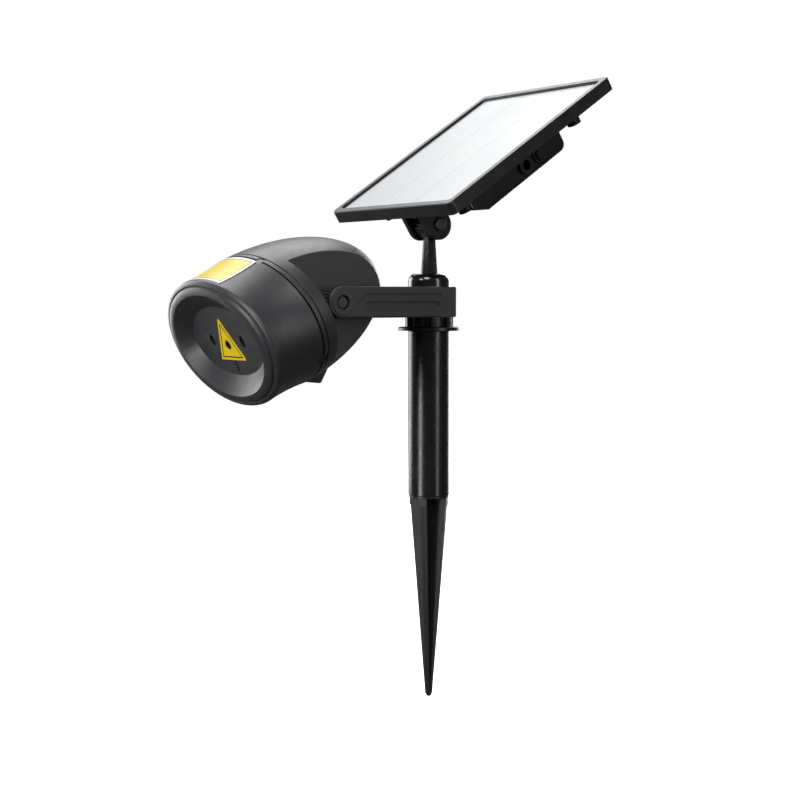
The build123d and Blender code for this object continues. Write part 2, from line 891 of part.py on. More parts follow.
def mode_button():
    outer = pod_underside(pod_button_station) + mode_button_proud
    inner = dome_outline_radius(pod_button_station) - head_wall - mode_button_inside
    stem = rod(mode_button_diameter / 2, -outer, -inner)
    stem = fillet(stem.edges().sort_by(Axis.Z)[0], mode_button_round)
    return Pos(0, 0, pod_button_station) * Rot(0, 90, 0) * stem


def dome_station(radius):
    """Station at which the dome's outer skin has this radius."""
    return dome_centre_station - dome_half_length * math.sqrt(1 - (radius / dome_radius) ** 2)


def cable_gland():
    offset = math.hypot(gland_up, gland_across / head_widening)
    rear = dome_station(offset - gland_diameter / 2) - gland_proud
    inner = dome_station(offset + gland_diameter / 2) + head_wall + gland_inside
    place = Pos(gland_up, gland_across, 0)
    body = fillet(rod(gland_diameter / 2, rear, inner).edges().sort_by(Axis.Z)[0], gland_round)
    neck = rod(gland_diameter / 2 - gland_neck_wall - snug, rear + gland_round, inner)
    gland = place * body - dome_solid(0, seam_station) + place * neck
    return gland - place * rod(gland_bore / 2, rear - 1, inner + 1)


# ---- mast ----
def mast_cap():
    outer = cap_diameter / 2
    top_radius = cap_top_diameter / 2
    shoulder = cap_bottom + cap_skirt
    rise = cap_top - shoulder
    inner = hub_spigot_diameter / 2 + running
    roof = cap_top - cap_roof
    edges = Polyline((inner, cap_bottom), (outer, cap_bottom), (outer, shoulder))
    edges += EllipticalCenterArc((top_radius, shoulder), outer - top_radius, rise, 0, arc_size=90)
    edges += Polyline(
        (top_radius, cap_top),
        (post_stub_diameter / 2 + snug, cap_top),
        (post_stub_diameter / 2 + snug, roof),
        (inner, roof),
        (inner, cap_bottom),
    )
    return turned(edges)


def panel_post():
    foot = Plane.XY.offset(cap_top) * RegularPolygon(post_foot_diameter / 2, 8)
    neck_level = knuckle_height - knuckle_diameter / 2 + neck_overlap
    neck = Plane.XY.offset(neck_level) * RegularPolygon(post_top_diameter / 2, 8)
    post = loft([foot, neck])
    post += rod(post_stub_diameter / 2, cap_top - cap_roof, cap_top)
    post += cross_rod(knuckle_diameter / 2, -knuckle_width / 2, knuckle_width / 2, 0, knuckle_height)
    for index in range(knuckle_teeth):
        turn = math.radians((index + 0.5) * 360 / knuckle_teeth)
        if math.sin(turn) > knuckle_plain_sine:
            post -= cross_rod(
                knuckle_tooth_depth, -knuckle_width / 2 - 1, knuckle_width / 2 + 1,
                knuckle_diameter / 2 * math.cos(turn), knuckle_height + knuckle_diameter / 2 * math.sin(turn),
            )
    return post - cross_rod(hinge_bolt_diameter / 2 + running, -knuckle_width, knuckle_width, 0, knuckle_height)


# ---- panel, drawn in its own frame and then set on the hinge ----
def plate(inset, low, high, corner):
    slab = block(
        low_edge + inset, high_edge - inset,
        -panel_width / 2 + inset, panel_width / 2 - inset,
        low, high,
    )
    return fillet(upright_edges(slab), corner) if corner > 0 else slab


def panel_frame():
    top = hinge_below_glass
    frame = plate(0, panel_back_level, top, panel_corner)
    frame = chamfer(frame.faces().sort_by(Axis.Z)[-1].edges(), frame_bevel)
    window = plate(rim_width, top - rim_lip - 1, top + 1, frame_window_corner)
    pocket = plate(rim_wall, panel_back_level - 1, top - rim_lip, pocket_corner)
    frame = frame - window - pocket
    inner_edges = frame.faces().sort_by(Axis.Z)[-1].inner_wires()[0].edges()
    return chamfer(inner_edges, rim_bevel)


glass_top = hinge_below_glass - rim_lip
glass_bottom = glass_top - glass_thickness
cell_top = glass_bottom
board_top = cell_top - cell_thickness
board_bottom = board_top - cell_board_thickness


def panel_glass():
    return plate(rim_wall + snug, glass_bottom, glass_top, pocket_corner)


def solar_cells():
    length = panel_length - 2 * (rim_width + cell_margin)
    width = panel_width - 2 * (rim_width + cell_margin)
    row_pitch = length / cell_rows
    column_pitch = width / cell_columns
    cells = []
    for row in range(cell_rows):
        for column in range(cell_columns):
            x = low_edge + rim_width + cell_margin + (row + 0.5) * row_pitch
            y = -width / 2 + (column + 0.5) * column_pitch
            cells.append(Pos(x, y, (cell_top + board_top) / 2) * Box(
                row_pitch - cell_gap, column_pitch - cell_gap, cell_thickness
            ))
    return cells


def cell_board():
    return plate(rim_wall + snug, board_bottom, board_top, pocket_corner)


def back_boss_places():
    across = panel_width / 2 - back_boss_margin
    return [(low_edge + along, side * across) for along in (back_boss_low, back_boss_high) for side in (-1, 1)]


def panel_back():
    low = panel_back_level + back_inset
    back = plate(rim_wall + snug, low, low + back_thickness, pocket_corner)
    for x, y in back_boss_places():
        back += Pos(x, y, 0) * rod(back_boss_diameter / 2, panel_back_level - back_boss_height, low + 0.5)
    for x, y in back_boss_places():
        back -= Pos(x, y, 0) * rod(back_screw_diameter / 2 + snug, -far_away, far_away)
        back -= Pos(x, y, 0) * rod(
            back_screw_head / 2 + back_screw_room, -far_away, panel_back_level - back_boss_height + back_screw_seat
        )
    for x, y in box_screw_places():
        back -= Pos(x, y, 0) * rod(back_screw_diameter / 2 + snug, -far_away, far_away)
    for x, y in clevis_screw_places():
        back -= Pos(x, y, 0) * rod(clevis_screw_diameter / 2 + snug, -far_away, far_away)
    return back


def back_screws():
    seat = panel_back_level - back_boss_height + back_screw_seat
    screws = []
    for x, y in back_boss_places():
        screw = rod(back_screw_head / 2, seat - back_screw_head_height, seat)
        screw += rod(back_screw_diameter / 2, seat, board_bottom - screw_end_gap)
        screws.append(Pos(x, y, 0) * screw)
    return screws


box_low_x = low_edge + box_start
box_high_x = low_edge + box_end
box_top = panel_back_level + back_inset
box_bottom = panel_back_level - box_depth


def box_solid(shrink):
    """The battery box's solid with its sloping low end, shrunk inwards for the hollow."""
    top = box_top if shrink == 0 else box_top + 1
    outline = Polyline(
        (box_low_x - box_ramp + shrink, top),
        (box_low_x - box_ramp + shrink, panel_back_level - box_lip + shrink),
        (box_low_x + shrink * 0.6, box_bottom + shrink),
        (box_high_x - shrink, box_bottom + shrink),
        (box_high_x - shrink, top),
        close=True,
    )
    half = box_width / 2 - shrink
    solid = extrude(Plane.XZ.offset(-half) * make_face(outline), 2 * half)
    corner = max(box_corner - shrink, 1.0)
    high_face = solid.faces().sort_by(Axis.X)[-1]
    solid = fillet(high_face.edges().filter_by(Axis.Y).sort_by(Axis.Z)[0], corner)
    return fillet(solid.edges().filter_by(Axis.X).group_by(Axis.Z)[0], min(corner, box_round))


def box_screw_places():
    across = box_width / 2 + box_flange / 2 + box_screw_gap
    along = (box_low_x + box_screw_margin, box_high_x - box_screw_margin)
    return [(x, side * across) for x in along for side in (-1, 1)]


def battery_box():
    box = box_solid(0) - box_solid(box_wall)
    for x, y in box_screw_places():
        side = 1 if y > 0 else -1
        inner = side * (box_width / 2 - 1)
        outer = y + side * ear_reach
        ear = block(
            x - ear_length / 2, x + ear_length / 2,
            min(inner, outer), max(inner, outer),
            box_top - ear_height, box_top,
        )
        box += fillet(upright_edges(ear), ear_round)
    for x, y in box_screw_places():
        box -= Pos(x, y, 0) * rod(back_screw_diameter / 2 + snug, -far_away, far_away)
    face = -box_width / 2
    level = panel_back_level - socket_below_back
    box -= cross_rod(socket_diameter / 2 - socket_step + snug, face - 1, face + box_wall + 1, socket_x, level)
    box -= cross_rod(power_button_diameter / 2 + button_gap, face - 1, face + box_wall + 1, button_x, level)
    collar_radius = power_button_diameter / 2 + button_gap
    collar = cross_rod(collar_radius + button_collar_width, face - button_collar_proud, face + 0.5, button_x, level)
    return box + collar - cross_rod(collar_radius, face - far_away, face + box_wall + 1, button_x, level)


socket_x = low_edge + socket_from_edge
button_x = low_edge + button_from_edge


def box_screws():
    seat = box_top - ear_height
    screws = []
    for x, y in box_screw_places():
        screw = rod(back_screw_head / 2, seat - box_screw_head_height, seat)
        screw += rod(back_screw_diameter / 2, seat, board_bottom - screw_end_gap)
        screws.append(Pos(x, y, 0) * screw)
    return screws


def battery_places():
    middle = (box_low_x + box_high_x) / 2 + cell_shift
    level = box_bottom + box_wall + cell_diameter / 2 + cell_float
    return [(middle + side * battery_pitch / 2, level) for side in (-1, 1)]


def battery_cells():
    cells = []
    for x, z in battery_places():
        can = cross_rod(cell_diameter / 2, -cell_length / 2, cell_length / 2, x, z)
        nub = cross_rod(cell_nub_diameter / 2, -cell_length / 2 - cell_nub_height, -cell_length / 2, x, z)
        cells.append(can + nub)
    return cells


def cell_holder():
    (first, level), (second, _) = battery_places()
    half = cell_length / 2
    bottom = level - holder_height / 2
    top = level + holder_height / 2
    low_x = first - cell_diameter / 2 - holder_wall
    high_x = second + cell_diameter / 2 + holder_wall
    ends = []
    for side in (-1, 1):
        near = side * (half + holder_end_gap)
        far = side * (half + holder_end_gap + holder_wall)
        ends.append(block(low_x, high_x, min(near, far), max(near, far), bottom, top))
    web_x = (first + second) / 2
    web_half = (battery_pitch - cell_diameter) / 2 - holder_gap
    web_end = half + holder_end_gap + holder_end_overlap
    web = block(web_x - web_half, web_x + web_half, -web_end, web_end, bottom, top)
    return ends[0] + ends[1] + web


def charge_board():
    x_low = box_low_x + charge_board_gap
    top = box_top - charge_board_drop
    board = block(
        x_low, x_low + charge_board_length,
        -charge_board_width / 2, charge_board_width / 2,
        top - charge_board_thickness, top,
    )
    chip_low = x_low + charge_chip_margin
    chip = block(
        chip_low, chip_low + charge_chip,
        charge_chip_across - charge_chip / 2, charge_chip_across + charge_chip / 2,
        top, top + charge_chip_height,
    )
    return board + chip


def cable_socket():
    face = -box_width / 2
    level = panel_back_level - socket_below_back
    collar = cross_rod(socket_diameter / 2, face - socket_proud, face, socket_x, level)
    neck = cross_rod(socket_diameter / 2 - socket_step, face, face + box_wall + socket_inside, socket_x, level)
    return collar + neck - cross_rod(socket_bore / 2, face - socket_proud - 1, face + box_wall + 1, socket_x, level)


def power_button():
    face = -box_width / 2
    level = panel_back_level - socket_below_back
    tip = face - power_button_proud
    button = cross_rod(power_button_diameter / 2, tip, face + box_wall + power_button_inside, button_x, level)
    return fillet(button.edges().sort_by(Axis.Y)[0], power_button_round)


clevis_high = low_edge + box_start - box_ramp - clevis_box_gap


def clevis_screw_places():
    margin = clevis_screw_head / 2 + clevis_screw_margin
    across = clevis_width / 2 - margin
    return [(x, side * across) for x in (clevis_low + margin, clevis_high - margin) for side in (-1, 1)]


def panel_clevis():
    top = panel_back_level + back_inset
    base = block(clevis_low, clevis_high, -clevis_width / 2, clevis_width / 2, top - clevis_base, top)
    clevis = fillet(upright_edges(base), clevis_corner)
    for side in (-1, 1):
        near = side * lug_inner
        far = side * lug_outer
        disc = cross_rod(lug_diameter / 2, near, far)
        web = block(
            -lug_diameter / 2, clevis_high, min(near, far), max(near, far), 0, top - clevis_base + 0.5
        )
        clevis += disc + web
    clevis -= cross_rod(hinge_bolt_diameter / 2 + snug, -clevis_width, clevis_width)
    for x, y in clevis_screw_places():
        clevis -= Pos(x, y, 0) * rod(clevis_screw_diameter / 2 + snug, -far_away, far_away)
    return clevis


def clevis_screws():
    seat = panel_back_level + back_inset - clevis_base
    screws = []
    for x, y in clevis_screw_places():
        screw = rod(clevis_screw_head / 2, seat - clevis_screw_height, seat)
        screw += rod(clevis_screw_diameter / 2, seat, board_bottom - screw_end_gap)
        screws.append(Pos(x, y, 0) * screw)
    return screws


def hinge_washers():
    washer = cross_rod(hinge_washer_diameter / 2, knuckle_width / 2 + face_gap, lug_inner)
    washer -= cross_rod(hinge_bolt_diameter / 2 + snug, 0, far_away)
    return [washer, mirror(washer, Plane.XZ)]


def hinge_bolt():
    head = cross_rod(hinge_head_diameter / 2, -lug_outer - hinge_head_height, -lug_outer)
    head = fillet(head.edges().sort_by(Axis.Y)[0], hinge_head_round)
    return head + cross_rod(hinge_bolt_diameter / 2, -lug_outer, lug_outer + hinge_nut_height)


def hinge_nut():
    nut = hexagon(hinge_nut_flats, 0, hinge_nut_height) - rod(hinge_bolt_diameter / 2 + snug, -1, far_away)
    return Pos(0, lug_outer, 0) * Rot(-90, 0, 0) * nut


# ---- the whole assembly ----
def pair(shape):
    return [shape, mirror(shape, Plane.XZ)]


standing_parts = {
    "ground_spike": ground_spike(),
    "stake_tube": stake_tube(),
    "stake_bush": stake_bush(),
    "swivel_bolt": swivel_bolt(),
    "swivel_washer": swivel_washer(),
    "swivel_nut": swivel_nut(),
    "swivel_collar": swivel_collar(),
    "yoke": yoke(),
    "pivot_bolts": pair(pivot_bolt()),
    "pivot_nuts": pair(pivot_nut()),
    "pivot_washers": pair(pivot_washer()),
    "mast_cap": mast_cap(),
    "panel_post": panel_post(),
}

head_parts = {
    "front_shell": front_shell(),
    "rear_shell": rear_shell(),
    "seal_ring": seal_ring(),
    "shell_clips": shell_clips(),
    "front_disc": front_disc(),
    "indicator_windows": indicator_windows(),
    "sensor_window": sensor_shape(0),
    "aperture_ring": aperture_ring(),
    "triangle_label": triangle_label(),
    "top_label": top_label(),
    "grating_lens": grating_lens(),
    "laser_module": laser_module(),
    "heat_sink": heat_sink(),
    "module_holder": module_holder(),
    "driver_board": driver_board(),
    "board_screws": board_screws(),
    "switch_pod": switch_pod(),
    "mode_button": mode_button(),
    "cable_gland": cable_gland(),
}

panel_parts = {
    "panel_frame": panel_frame(),
    "panel_glass": panel_glass(),
    "solar_cells": solar_cells(),
    "cell_board": cell_board(),
    "panel_back": panel_back(),
    "back_screws": back_screws(),
    "battery_box": battery_box(),
    "box_screws": box_screws(),
    "battery_cells": battery_cells(),
    "cell_holder": cell_holder(),
    "charge_board": charge_board(),
    "cable_socket": cable_socket(),
    "power_button": power_button(),
    "panel_clevis": panel_clevis(),
    "clevis_screws": clevis_screws(),
    "hinge_washers": hinge_washers(),
    "hinge_bolt": hinge_bolt(),
    "hinge_nut": hinge_nut(),
}


def write_parts(parts, place):
    for name, shape in parts.items():
        pieces = shape if isinstance(shape, list) else [shape]
        solids = [solid for piece in pieces for solid in (place * piece).solids()]
        whole = solids[0] if len(solids) == 1 else Compound(children=solids)
        export_step(whole, os.path.join("parts", name + ".step"))


os.makedirs("parts", exist_ok=True)
write_parts(standing_parts, Location())
write_parts(head_parts, head_frame)
write_parts(panel_parts, panel_frame_place)
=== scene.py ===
import bpy
import bmesh
import json
import math
from mathutils import Matrix, Vector


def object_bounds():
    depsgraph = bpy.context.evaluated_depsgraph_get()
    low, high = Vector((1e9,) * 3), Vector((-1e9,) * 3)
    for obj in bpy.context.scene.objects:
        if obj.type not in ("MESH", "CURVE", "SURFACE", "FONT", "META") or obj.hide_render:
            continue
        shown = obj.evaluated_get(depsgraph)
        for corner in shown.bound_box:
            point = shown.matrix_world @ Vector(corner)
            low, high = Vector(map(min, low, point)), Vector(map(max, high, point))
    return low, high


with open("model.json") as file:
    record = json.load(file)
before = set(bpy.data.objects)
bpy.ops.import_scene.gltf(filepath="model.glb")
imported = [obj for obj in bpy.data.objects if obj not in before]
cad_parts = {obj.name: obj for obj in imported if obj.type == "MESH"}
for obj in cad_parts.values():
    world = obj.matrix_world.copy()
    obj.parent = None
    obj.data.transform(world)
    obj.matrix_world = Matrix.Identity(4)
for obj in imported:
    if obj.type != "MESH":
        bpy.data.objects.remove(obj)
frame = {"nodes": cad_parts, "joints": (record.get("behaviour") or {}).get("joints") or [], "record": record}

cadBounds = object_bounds()
nodes = frame["nodes"]
record = frame["record"]
print("frame loaded:", len(nodes), "nodes")


def jointPlace(name):
    return Vector(next(joint for joint in frame["joints"] if joint["name"] == name)["pos_m"])


# the lamp head's own axes: forward and up from its pivot, and how much wider than high its oval is
head = dict(tilt=math.radians(25.0), widening=1.44)
pivot = jointPlace("head_tilt")
headForward = Vector((-math.cos(head["tilt"]), 0, -math.sin(head["tilt"])))
headUp = Vector((-math.sin(head["tilt"]), 0, math.cos(head["tilt"])))

# the panel's slope about its hinge
panel = dict(tilt=math.radians(33.4))
hinge = jointPlace("panel_tilt")

# a noise value lies mostly between these, so a tone or a gloss is spread over them
noiseSpan = (0.3, 0.7)


# small helpers for node trees
def newMaterial(name):
    material = bpy.data.materials.new(name)
    material.use_nodes = True
    return material, material.node_tree, material.node_tree.nodes["Principled BSDF"]


def objectCoords(tree, scale=(1, 1, 1)):
    coords = tree.nodes.new("ShaderNodeTexCoord")
    mapping = tree.nodes.new("ShaderNodeMapping")
    mapping.inputs["Scale"].default_value = scale
    tree.links.new(coords.outputs["Object"], mapping.inputs["Vector"])
    return mapping.outputs["Vector"]


# object coordinates about the hinge, turned about Y so that X runs up the panel's slope
def panelCoords(tree):
    coords = tree.nodes.new("ShaderNodeTexCoord")
    mapping = tree.nodes.new("ShaderNodeMapping")
    turn = Matrix.Rotation(panel["tilt"], 3, "Y")
    mapping.inputs["Location"].default_value = -(turn @ hinge)
    mapping.inputs["Rotation"].default_value = (0, panel["tilt"], 0)
    tree.links.new(coords.outputs["Object"], mapping.inputs["Vector"])
    split = tree.nodes.new("ShaderNodeSeparateXYZ")
    tree.links.new(mapping.outputs["Vector"], split.inputs["Vector"])
    return split.outputs["X"], split.outputs["Y"]


def noise(tree, coords, scale, detail=3.0, roughness=0.55):
    node = tree.nodes.new("ShaderNodeTexNoise")
    node.inputs["Scale"].default_value = scale
    node.inputs["Detail"].default_value = detail
    node.inputs["Roughness"].default_value = roughness
    tree.links.new(coords, node.inputs["Vector"])
    return node.outputs["Fac"]


def remap(tree, value, source, target=(0.0, 1.0)):
    node = tree.nodes.new("ShaderNodeMapRange")
    limits = dict(zip(("From Min", "From Max", "To Min", "To Max"), (*source, *target)))
    for socket, number in limits.items():
        node.inputs[socket].default_value = number
    tree.links.new(value, node.inputs["Value"])
    return node.outputs["Result"]


# a step from 0 to 1 at a distance, softened over a little way on both sides
def softStep(tree, value, place, softness=0.0001):
    return remap(tree, value, (place - softness, place + softness))


def calculate(tree, operation, first, second=None):
    node = tree.nodes.new("ShaderNodeMath")
    node.operation = operation
    for index, value in enumerate((first, second)):
        if isinstance(value, (int, float)):
            node.inputs[index].default_value = value
        elif value is not None:
            tree.links.new(value, node.inputs[index])
    return node.outputs["Value"]


def mix(tree, share, first, second):
    node = tree.nodes.new("ShaderNodeMix")
    node.data_type = "RGBA"
    shareSocket, firstSocket, secondSocket = node.inputs[0], node.inputs[6], node.inputs[7]
    if isinstance(share, (int, float)):
        shareSocket.default_value = share
    else:
        tree.links.new(share, shareSocket)
    for socket, value in ((firstSocket, first), (secondSocket, second)):
        if isinstance(value, tuple):
            socket.default_value = (*value, 1)
        else:
            tree.links.new(value, socket)
    return node.outputs[2]


def shade(colour, factor, lift=0.0):
    return tuple(min(1.0, channel * factor + lift) for channel in colour)


# bump, over edges that the shader rounds by the given radius
def bump(tree, shader, height, strength, depth, edge=0.0):
    node = tree.nodes.new("ShaderNodeBump")
    if edge:
        rounding = tree.nodes.new("ShaderNodeBevel")
        rounding.samples = 4
        rounding.inputs["Radius"].default_value = edge
        tree.links.new(rounding.outputs["Normal"], node.inputs["Normal"])
    node.inputs["Strength"].default_value = strength
    node.inputs["Distance"].default_value = depth
    tree.links.new(height, node.inputs["Height"])
    tree.links.new(node.outputs["Normal"], shader.inputs["Normal"])


def paint(tree, shader, colour, gloss):
    tree.links.new(colour, shader.inputs["Base Color"])
    tree.links.new(gloss, shader.inputs["Roughness"])


# moulded plastic: a spark-eroded grain, cloudy tone, scuffed gloss and rubbed edges
# every noise below is given as its scale, detail and roughness, and every relief as its strength and depth
moulding = dict(
    grainDetail=4.0, grainRoughness=0.62, grainSpan=(0.36, 0.64), grainStrength=0.6,
    clouds=(16.0, 4.0, 0.6), cloudDepth=0.07, scuffs=(75.0, 6.0, 0.75), scuffSpan=(0.3, 0.75),
    edgeSpan=(0.52, 0.62), edgeScuffs=(0.42, 0.68), edgeRadius=0.0003, rubFactor=2.4, rubLift=0.02,
    glossSpread=0.07, coatGloss=0.12,
)


def wornEdges(tree, scuffs, amount):
    geometry = tree.nodes.new("ShaderNodeNewGeometry")
    sharp = remap(tree, geometry.outputs["Pointiness"], moulding["edgeSpan"])
    return calculate(tree, "MULTIPLY", sharp, remap(tree, scuffs, moulding["edgeScuffs"], (0.0, amount)))


def plastic(name, colour, grain, depth, gloss, mottle=0.14, wear=0.3, specular=0.5, coat=0.0,
            stretch=(1, 1, 1)):
    material, tree, shader = newMaterial(name)
    coords = objectCoords(tree)
    fine = noise(tree, objectCoords(tree, stretch), grain,
                 moulding["grainDetail"], moulding["grainRoughness"])
    clouds = noise(tree, coords, *moulding["clouds"])
    scuffs = noise(tree, coords, *moulding["scuffs"])
    speckled = remap(tree, fine, moulding["grainSpan"])
    specks = mix(tree, speckled, shade(colour, 1 - mottle), shade(colour, 1 + mottle))
    darker = shade(colour, 1 - moulding["cloudDepth"])
    lighter = shade(colour, 1 + moulding["cloudDepth"])
    body = mix(tree, 0.5, specks, mix(tree, remap(tree, clouds, noiseSpan), darker, lighter))
    rubbed = shade(colour, moulding["rubFactor"], moulding["rubLift"])
    glossRange = (gloss - moulding["glossSpread"], gloss + moulding["glossSpread"])
    paint(tree, shader, mix(tree, wornEdges(tree, scuffs, wear), body, rubbed),
          remap(tree, scuffs, moulding["scuffSpan"], glossRange))
    shader.inputs["Specular IOR Level"].default_value = specular
    shader.inputs["Coat Weight"].default_value = coat
    shader.inputs["Coat Roughness"].default_value = moulding["coatGloss"]
    bump(tree, shader, fine, moulding["grainStrength"], depth, moulding["edgeRadius"])
    return material


# drawn, turned or plated metal: fine lines, water stains and uneven gloss
working = dict(lines=(1300.0, 3.0, 0.6), relief=(0.5, 0.00002), stains=(95.0, 5.0, 0.7),
               dark=0.78, light=1.08, smooth=0.75, rough=1.3)


def metal(name, colour, gloss, stretch=(1, 1, 1)):
    material, tree, shader = newMaterial(name)
    lines = noise(tree, objectCoords(tree, stretch), *working["lines"])
    stains = noise(tree, objectCoords(tree), *working["stains"])
    tone = mix(tree, remap(tree, stains, noiseSpan),
               shade(colour, working["dark"]), shade(colour, working["light"]))
    paint(tree, shader, tone,
          remap(tree, lines, noiseSpan, (gloss * working["smooth"], gloss * working["rough"])))
    shader.inputs["Metallic"].default_value = 1.0
    bump(tree, shader, lines, *working["relief"])
    return material


finishes = dict(
    head_plastic=plastic("headPlastic", (0.028, 0.0287, 0.0315), 1150, 0.00022, 0.40, mottle=0.35),
    disc_plastic=plastic("discPlastic", (0.029, 0.030, 0.033), 1700, 0.00008, 0.46),
    bracket_plastic=plastic("bracketPlastic", (0.029, 0.030, 0.032), 1500, 0.00005, 0.44),
    tube_black=plastic("tubeBlack", (0.004, 0.0043, 0.0047), 1800, 0.00002, 0.30, stretch=(1, 1, 0.08)),
    spike_plastic=plastic("spikePlastic", (0.006, 0.0062, 0.0066), 1300, 0.00006, 0.42),
    bush_plastic=plastic("bushPlastic", (0.005, 0.005, 0.0055), 1500, 0.00004, 0.38),
    post_plastic=plastic("postPlastic", (0.003, 0.003, 0.0033), 1600, 0.00001, 0.24, coat=0.5),
    frame_plastic=plastic("framePlastic", (0.006, 0.0062, 0.007), 1600, 0.00004, 0.4),
    box_plastic=plastic("boxPlastic", (0.004, 0.0036, 0.0044), 1300, 0.00008, 0.45, specular=0.35),
    seal_rubber=plastic("sealRubber", (0.010, 0.010, 0.0105), 2200, 0.00003, 0.65, specular=0.3),
    button_rubber=plastic("buttonRubber", (0.012, 0.012, 0.0125), 2000, 0.00005, 0.6, specular=0.3),
    white_sheet=plastic("backingSheet", (0.72, 0.73, 0.74), 900, 0.00002, 0.4, mottle=0.04, wear=0),
    battery_wrap=plastic("batteryWrap", (0.05, 0.16, 0.34), 700, 0.00001, 0.25, mottle=0.05),
    zinc_steel=metal("zincSteel", (0.52, 0.53, 0.55), 0.32),
    black_steel=metal("blackSteel", (0.085, 0.086, 0.09), 0.4),
    laser_brass=metal("laserBrass", (0.72, 0.52, 0.21), 0.28),
    sink_aluminium=metal("sinkAluminium", (0.72, 0.73, 0.75), 0.34, stretch=(1, 1, 0.1)),
)
print("plastics and metals ready:", len(finishes))


def voronoi(tree, coords, scale, feature):
    node = tree.nodes.new("ShaderNodeTexVoronoi")
    node.feature = feature
    node.inputs["Scale"].default_value = scale
    tree.links.new(coords, node.inputs["Vector"])
    return node.outputs["Distance"]


# circuit board: solder mask with darker tracks
def circuitBoard():
    board = dict(tracks=(0.03, 0.16, 0.07), mask=(0.012, 0.08, 0.035), trackScale=420,
                 trackEdge=(0.04, 0.08), sheenScale=300.0, gloss=(0.25, 0.4), relief=(0.4, 0.00003))
    material, tree, shader = newMaterial("circuitGreen")
    coords = objectCoords(tree)
    fromTrack = voronoi(tree, coords, board["trackScale"], "DISTANCE_TO_EDGE")
    lines = remap(tree, fromTrack, board["trackEdge"])
    paint(tree, shader, mix(tree, lines, board["tracks"], board["mask"]),
          remap(tree, noise(tree, coords, board["sheenScale"]), noiseSpan, board["gloss"]))
    bump(tree, shader, lines, *board["relief"])
    return material


# a wave along the panel's slope, from -1 to 1
def slopeWave(tree, along, pitch):
    return calculate(tree, "SINE", calculate(tree, "MULTIPLY", along, 2 * math.pi / pitch))


# silicon cell: dark blue crystal with fine silver fingers across the panel
def cellSilicon():
    cell = dict(dark=(0.006, 0.009, 0.028), light=(0.014, 0.022, 0.06), silver=(0.28, 0.29, 0.31),
                crystalScale=160, fingerPitch=0.0018, fingerEdge=(0.9, 0.97),
                sheenScale=200.0, gloss=(0.2, 0.34), relief=(0.4, 0.00003))
    material, tree, shader = newMaterial("cellSilicon")
    coords = objectCoords(tree)
    along = panelCoords(tree)[0]
    fingers = remap(tree, slopeWave(tree, along, cell["fingerPitch"]), cell["fingerEdge"])
    blue = mix(tree, voronoi(tree, coords, cell["crystalScale"], "F1"), cell["dark"], cell["light"])
    paint(tree, shader, mix(tree, fingers, blue, cell["silver"]),
          remap(tree, noise(tree, coords, cell["sheenScale"]), noiseSpan, cell["gloss"]))
    bump(tree, shader, fingers, *cell["relief"])
    return material


# cover glass: a pale base colour that is a painted reflection of the bright studio, finely rolled and dusty,
# with a dashed seam over each gap between the cells
def panelGlass():
    # painted reflection: the pale base colour stands in for the studio reflected in the glass, and real dust
    # darkens it a little
    glass = dict(pale=(0.46, 0.475, 0.49), seam=(0.27, 0.275, 0.28), seamOffset=0.019,
                 seamWidth=0.0009, dash=0.0042, dashEdge=(-0.2, 0.2), transmission=0.16, index=1.52,
                 specular=0.22, rolled=(900.0, 3.0, 0.5), relief=(0.2, 0.00002),
                 dust=(32.0, 6.0, 0.7), dustSpan=(0.35, 0.75), dustTone=0.96, gloss=(0.30, 0.36))
    material, tree, shader = newMaterial("panelGlass")
    coords = objectCoords(tree)
    rolled = noise(tree, coords, *glass["rolled"])
    dust = noise(tree, coords, *glass["dust"])
    along, across = panelCoords(tree)
    offSeam = calculate(tree, "SUBTRACT", calculate(tree, "ABSOLUTE", across), glass["seamOffset"])
    seamEdge = (glass["seamWidth"], glass["seamWidth"] / 2)
    onSeam = remap(tree, calculate(tree, "ABSOLUTE", offSeam), seamEdge)
    dashes = remap(tree, slopeWave(tree, along, glass["dash"]), glass["dashEdge"])
    dusty = remap(tree, dust, glass["dustSpan"])
    dustOnReflection = mix(tree, dusty, glass["pale"], shade(glass["pale"], glass["dustTone"]))
    paint(tree, shader, mix(tree, calculate(tree, "MULTIPLY", onSeam, dashes), dustOnReflection, glass["seam"]),
          remap(tree, dust, glass["dustSpan"], glass["gloss"]))
    shader.inputs["Transmission Weight"].default_value = glass["transmission"]
    shader.inputs["IOR"].default_value = glass["index"]
    shader.inputs["Specular IOR Level"].default_value = glass["specular"]
    bump(tree, shader, rolled, *glass["relief"])
    return material


# small moulded lenses and windows, smeared a little
def mouldedLens(name, colour, gloss):
    lens = dict(transmission=0.3, index=1.5, smear=(140.0, 5.0, 0.7), smearTone=0.85,
                relief=(0.1, 0.00002))
    material, tree, shader = newMaterial(name)
    smear = noise(tree, objectCoords(tree), *lens["smear"])
    paint(tree, shader, mix(tree, smear, shade(colour, lens["smearTone"]), colour),
          remap(tree, smear, noiseSpan, (gloss, gloss * 2)))
    shader.inputs["Transmission Weight"].default_value = lens["transmission"]
    shader.inputs["IOR"].default_value = lens["index"]
    bump(tree, shader, smear, *lens["relief"])
    return material


# station forward of the pivot, distance across, and height above the head's axis, in metres
def headCoords(tree):
    coords = tree.nodes.new("ShaderNodeTexCoord").outputs["Object"]
    split = tree.nodes.new("ShaderNodeSeparateXYZ")
    tree.links.new(coords, split.inputs["Vector"])

    def distanceAlong(axis):
        product = tree.nodes.new("ShaderNodeVectorMath")
        product.operation = "DOT_PRODUCT"
        tree.links.new(coords, product.inputs[0])
        product.inputs[1].default_value = axis
        return calculate(tree, "SUBTRACT", product.outputs["Value"], pivot.dot(axis))

    return distanceAlong(headForward), split.outputs["Y"], distanceAlong(headUp)


